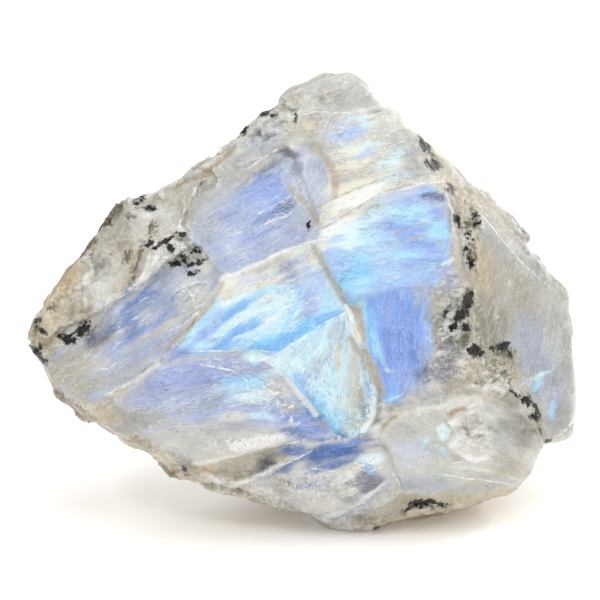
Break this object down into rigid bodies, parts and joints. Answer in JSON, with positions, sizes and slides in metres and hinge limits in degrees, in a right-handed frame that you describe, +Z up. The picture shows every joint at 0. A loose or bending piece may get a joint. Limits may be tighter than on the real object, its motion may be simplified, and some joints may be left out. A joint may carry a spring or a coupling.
{
  "type": "rough moonstone",
  "caption": "Rough moonstone specimen: a broken lump of pale feldspar with a stepped, blue-flashing cleavage face, resting on a small flat spot.",
  "frame": {"origin": "centre of the stone's footprint box, on the surface that it rests on", "axes": "+X from the pointed left end to the broad right end, seen facing the stepped cleavage face; -Y out of that face; +Z up"},
  "size_m": [0.0658, 0.0336, 0.0509],
  "materials": {
    "moonstone": "vitreous cleavage face with a blue sheen, rough frosted fracture round it"
  },
  "bodies": {
    "root": {"moonstone": "moonstone"}
  },
  "joints": []
}
